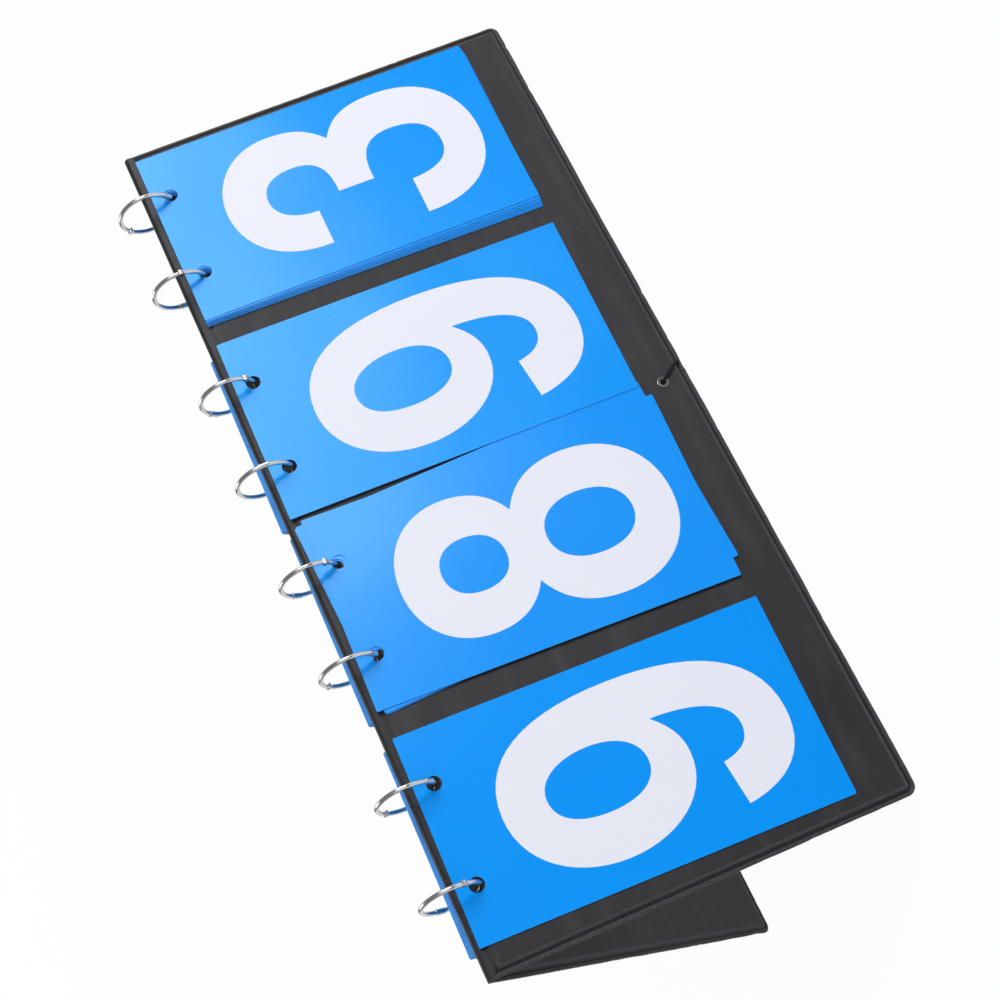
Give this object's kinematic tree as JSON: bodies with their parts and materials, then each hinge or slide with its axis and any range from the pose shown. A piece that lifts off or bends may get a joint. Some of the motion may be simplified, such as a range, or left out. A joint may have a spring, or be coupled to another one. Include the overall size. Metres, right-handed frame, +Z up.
{
  "type": "tabletop flip scoreboard",
  "caption": "A-frame scoreboard of two vinyl-covered boards; number cards hang on hinged rings and flip over the top; a cord limits the opening.",
  "frame": {"origin": "on the table, under the middle of the fold", "axes": "+X along the board in reading direction, front face towards -Y, +Z up"},
  "size_m": [0.385, 0.1318, 0.1723],
  "materials": {
    "vinyl": "satin",
    "board": "matte",
    "cord": "matte",
    "eyelet_metal": "polished",
    "ring_steel": "polished",
    "card": "gloss"
  },
  "bodies": {
    "front_panel": {"front_outer_vinyl": "vinyl", "front_board": "board", "front_inner_vinyl": "vinyl", "front_eyelet": "eyelet_metal", "front_knot": "cord", "stay_cord": "cord", "spine_strip": "vinyl", "left_units_front_pile": "card", "right_units_front_pile": "card"},
    "back_panel": {"back_outer_vinyl": "vinyl", "back_board": "board", "back_inner_vinyl": "vinyl", "back_eyelet": "eyelet_metal", "back_knot": "cord", "left_tens_back_pile": "card", "left_units_back_pile": "card", "right_tens_back_pile": "card", "right_units_back_pile": "card"},
    "left_tens_ring_a": {"left_tens_ring_a_lower_half": "ring_steel", "left_tens_ring_a_rivet": "ring_steel"},
    "left_tens_ring_a_upper": {"left_tens_ring_a_upper_half": "ring_steel"},
    "left_tens_front_card": {"left_tens_front_card_9": "card"},
    "left_tens_ring_b": {"left_tens_ring_b_lower_half": "ring_steel", "left_tens_ring_b_rivet": "ring_steel"},
    "left_tens_ring_b_upper": {"left_tens_ring_b_upper_half": "ring_steel"},
    "left_tens_back_card": {"left_tens_back_card_8": "card"},
    "left_units_ring_a": {"left_units_ring_a_lower_half": "ring_steel", "left_units_ring_a_rivet": "ring_steel"},
    "left_units_ring_a_upper": {"left_units_ring_a_upper_half": "ring_steel"},
    "left_units_front_card": {"left_units_front_card_8": "card"},
    "left_units_ring_b": {"left_units_ring_b_lower_half": "ring_steel", "left_units_ring_b_rivet": "ring_steel"},
    "left_units_ring_b_upper": {"left_units_ring_b_upper_half": "ring_steel"},
    "left_units_back_card": {"left_units_back_card_7": "card"},
    "right_tens_ring_a": {"right_tens_ring_a_lower_half": "ring_steel", "right_tens_ring_a_rivet": "ring_steel"},
    "right_tens_ring_a_upper": {"right_tens_ring_a_upper_half": "ring_steel"},
    "right_tens_front_card": {"right_tens_front_card_9": "card"},
    "right_tens_ring_b": {"right_tens_ring_b_lower_half": "ring_steel", "right_tens_ring_b_rivet": "ring_steel"},
    "right_tens_ring_b_upper": {"right_tens_ring_b_upper_half": "ring_steel"},
    "right_tens_back_card": {"right_tens_back_card_8": "card"},
    "right_units_ring_a": {"right_units_ring_a_lower_half": "ring_steel", "right_units_ring_a_rivet": "ring_steel"},
    "right_units_ring_a_upper": {"right_units_ring_a_upper_half": "ring_steel"},
    "right_units_front_card": {"right_units_front_card_3": "card"},
    "right_units_ring_b": {"right_units_ring_b_lower_half": "ring_steel", "right_units_ring_b_rivet": "ring_steel"},
    "right_units_ring_b_upper": {"right_units_ring_b_upper_half": "ring_steel"},
    "right_units_back_card": {"right_units_back_card_2": "card"}
  },
  "joints": [
    {"name": "panel_fold", "type": "hinge", "parent": "front_panel", "child": "back_panel", "pos_m": [0, 0, 0.15753], "axis": [-1, 0, 0], "range_deg": [0, 41], "deforming": ["spine_strip", "stay_cord"]},
    {"name": "left_tens_ring_a_spin", "type": "hinge", "parent": "front_panel", "child": "left_tens_ring_a", "pos_m": [-0.15895, 0, 0.15953], "axis": [-1, 0, 0], "range_deg": [0, 272.58]},
    {"name": "left_tens_front_card_swing", "type": "hinge", "parent": "left_tens_ring_a", "child": "left_tens_front_card", "pos_m": [-0.15895, -0.00674, 0.14978], "axis": [-1, 0, 0], "range_deg": [0, 43.69]},
    {"name": "left_tens_ring_a_opening", "type": "hinge", "parent": "left_tens_ring_a", "child": "left_tens_ring_a_upper", "pos_m": [-0.15895, -0.0118, 0.1585], "axis": [-1, 0, 0], "range_deg": [-60, 0]},
    {"name": "left_tens_ring_b_spin", "type": "hinge", "parent": "back_panel", "child": "left_tens_ring_b", "pos_m": [-0.11765, 0, 0.15953], "axis": [-1, 0, 0], "range_deg": [-272.8, 0]},
    {"name": "left_tens_back_card_swing", "type": "hinge", "parent": "left_tens_ring_b", "child": "left_tens_back_card", "pos_m": [-0.11765, 0.00914, 0.15198], "axis": [-1, 0, 0], "range_deg": [-43.47, 0]},
    {"name": "left_tens_ring_b_opening", "type": "hinge", "parent": "left_tens_ring_b", "child": "left_tens_ring_b_upper", "pos_m": [-0.11765, 0.01065, 0.16472], "axis": [-1, 0, 0], "range_deg": [0, 60]},
    {"name": "left_units_ring_a_spin", "type": "hinge", "parent": "front_panel", "child": "left_units_ring_a", "pos_m": [-0.0625, 0, 0.15953], "axis": [-1, 0, 0], "range_deg": [0, 270.89]},
    {"name": "left_units_front_card_swing", "type": "hinge", "parent": "left_units_ring_a", "child": "left_units_front_card", "pos_m": [-0.0625, -0.00737, 0.15025], "axis": [-1, 0, 0], "range_deg": [0, 45.38]},
    {"name": "left_units_ring_a_opening", "type": "hinge", "parent": "left_units_ring_a", "child": "left_units_ring_a_upper", "pos_m": [-0.0625, 0.01026, 0.16545], "axis": [1, 0, 0], "range_deg": [-60, 0]},
    {"name": "left_units_ring_b_spin", "type": "hinge", "parent": "back_panel", "child": "left_units_ring_b", "pos_m": [-0.0212, 0, 0.15953], "axis": [-1, 0, 0], "range_deg": [-271.04, 0]},
    {"name": "left_units_back_card_swing", "type": "hinge", "parent": "left_units_ring_b", "child": "left_units_back_card", "pos_m": [-0.0212, 0.00886, 0.15166], "axis": [-1, 0, 0], "range_deg": [-45.23, 0]},
    {"name": "left_units_ring_b_opening", "type": "hinge", "parent": "left_units_ring_b", "child": "left_units_ring_b_upper", "pos_m": [-0.0212, -0.01145, 0.15646], "axis": [1, 0, 0], "range_deg": [0, 60]},
    {"name": "right_tens_ring_a_spin", "type": "hinge", "parent": "front_panel", "child": "right_tens_ring_a", "pos_m": [0.0258, 0, 0.15953], "axis": [-1, 0, 0], "range_deg": [0, 268.77]},
    {"name": "right_tens_front_card_swing", "type": "hinge", "parent": "right_tens_ring_a", "child": "right_tens_front_card", "pos_m": [0.0258, -0.00737, 0.15025], "axis": [-1, 0, 0], "range_deg": [0, 47.49]},
    {"name": "right_tens_ring_a_opening", "type": "hinge", "parent": "right_tens_ring_a", "child": "right_tens_ring_a_upper", "pos_m": [0.0258, 0.01099, 0.15509], "axis": [1, 0, 0], "range_deg": [-60, 0]},
    {"name": "right_tens_ring_b_spin", "type": "hinge", "parent": "back_panel", "child": "right_tens_ring_b", "pos_m": [0.0671, 0, 0.15953], "axis": [-1, 0, 0], "range_deg": [-268.96, 0]},
    {"name": "right_tens_back_card_swing", "type": "hinge", "parent": "right_tens_ring_b", "child": "right_tens_back_card", "pos_m": [0.0671, 0.00914, 0.15198], "axis": [-1, 0, 0], "range_deg": [-47.3, 0]},
    {"name": "right_tens_ring_b_opening", "type": "hinge", "parent": "right_tens_ring_b", "child": "right_tens_ring_b_upper", "pos_m": [0.0671, -0.01099, 0.15509], "axis": [1, 0, 0], "range_deg": [0, 60]},
    {"name": "right_units_ring_a_spin", "type": "hinge", "parent": "front_panel", "child": "right_units_ring_a", "pos_m": [0.12225, 0, 0.15953], "axis": [-1, 0, 0], "range_deg": [0, 273.07]},
    {"name": "right_units_front_card_swing", "type": "hinge", "parent": "right_units_ring_a", "child": "right_units_front_card", "pos_m": [0.12225, -0.00857, 0.15135], "axis": [-1, 0, 0], "range_deg": [0, 43.19]},
    {"name": "right_units_ring_a_opening", "type": "hinge", "parent": "right_units_ring_a", "child": "right_units_ring_a_upper", "pos_m": [0.12225, -0.01145, 0.1626], "axis": [-1, 0, 0], "range_deg": [-60, 0]},
    {"name": "right_units_ring_b_spin", "type": "hinge", "parent": "back_panel", "child": "right_units_ring_b", "pos_m": [0.16355, 0, 0.15953], "axis": [-1, 0, 0], "range_deg": [-272.96, 0]},
    {"name": "right_units_back_card_swing", "type": "hinge", "parent": "right_units_ring_b", "child": "right_units_back_card", "pos_m": [0.16355, 0.00737, 0.15025], "axis": [-1, 0, 0], "range_deg": [-43.3, 0]},
    {"name": "right_units_ring_b_opening", "type": "hinge", "parent": "right_units_ring_b", "child": "right_units_ring_b_upper", "pos_m": [0.16355, 0.01046, 0.16509], "axis": [-1, 0, 0], "range_deg": [0, 60]}
  ],
  "couplings": [
    {"joint": "left_tens_front_card_swing", "follows": "left_tens_ring_a_spin", "ratio": 0.16029},
    {"joint": "left_tens_back_card_swing", "follows": "left_tens_ring_b_spin", "ratio": 0.15934},
    {"joint": "left_units_front_card_swing", "follows": "left_units_ring_a_spin", "ratio": 0.1675},
    {"joint": "left_units_back_card_swing", "follows": "left_units_ring_b_spin", "ratio": 0.16688},
    {"joint": "right_tens_front_card_swing", "follows": "right_tens_ring_a_spin", "ratio": 0.17669},
    {"joint": "right_tens_back_card_swing", "follows": "right_tens_ring_b_spin", "ratio": 0.17587},
    {"joint": "right_units_front_card_swing", "follows": "right_units_ring_a_spin", "ratio": 0.15818},
    {"joint": "right_units_back_card_swing", "follows": "right_units_ring_b_spin", "ratio": 0.15864}
  ]
}
